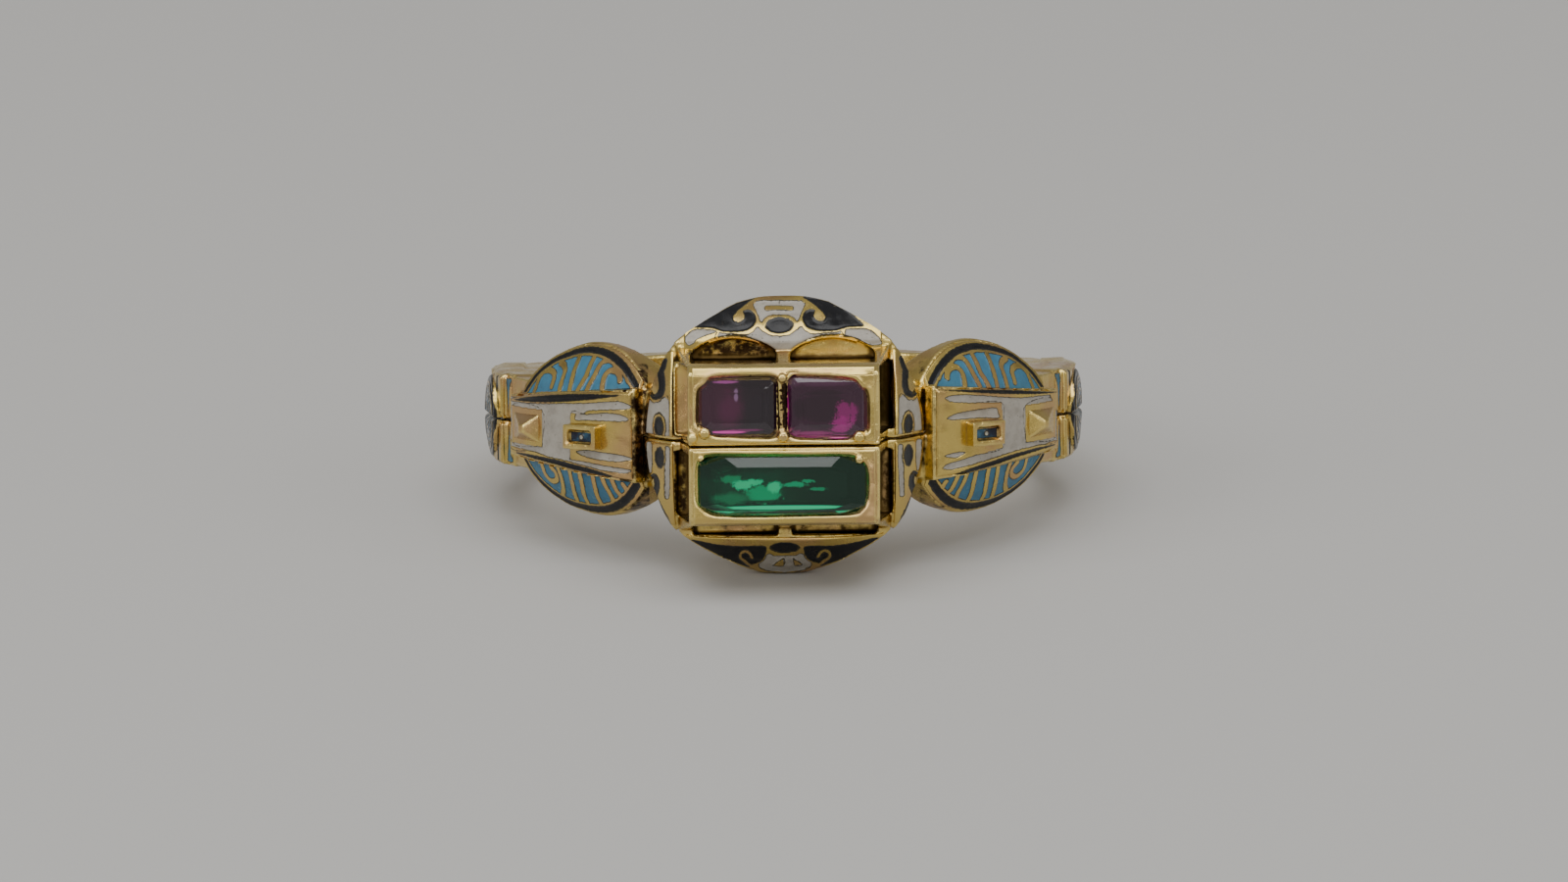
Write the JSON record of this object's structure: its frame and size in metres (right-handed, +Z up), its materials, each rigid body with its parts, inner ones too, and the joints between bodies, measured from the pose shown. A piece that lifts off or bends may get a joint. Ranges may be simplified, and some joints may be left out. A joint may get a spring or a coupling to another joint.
{
  "type": "gimmel ring",
  "caption": "Enamelled gold gimmel ring: two thin hoops riveted at the back fan open, and together form one band with a box bezel holding rubies above an emerald.",
  "frame": {"origin": "bottom centre of the bounding box, on the surface the ring lies on", "axes": "-Y towards the bezel's face, +Y towards the pin, +Z up; the finger hole's axis leans 10.5 degrees from +Z towards +Y"},
  "size_m": [0.0224, 0.0248, 0.01],
  "materials": {
    "gold": "worn polished gold",
    "ruby": "polished cut stone",
    "emerald": "polished cut stone",
    "white_enamel": "glossy opaque enamel, greyed",
    "black_enamel": "glossy opaque enamel",
    "blue_enamel": "glossy light blue enamel",
    "grey_enamel": "glossy grey enamel"
  },
  "bodies": {
    "emerald_half": {"emerald_hoop": "gold", "emerald": "emerald", "pivot_pin": "gold", "right_strap_white": "white_enamel", "right_strap_black": "black_enamel", "lower_lobe_blue": "blue_enamel", "lower_lobe_black": "black_enamel", "lower_bezel_white": "white_enamel", "lower_bezel_black": "black_enamel", "lower_medallions": "grey_enamel"},
    "ruby_half": {"ruby_hoop": "gold", "ruby_left": "ruby", "ruby_right": "ruby", "left_strap_white": "white_enamel", "left_strap_black": "black_enamel", "upper_lobe_blue": "blue_enamel", "upper_lobe_black": "black_enamel", "upper_bezel_white": "white_enamel", "upper_bezel_black": "black_enamel", "upper_medallions": "grey_enamel"}
  },
  "joints": [
    {"name": "hoop_pivot", "type": "hinge", "parent": "emerald_half", "child": "ruby_half", "pos_m": [0, 0.01158, 0.00143], "axis": [0, -0.1829, -0.9831], "range_deg": [0, 270]}
  ]
}
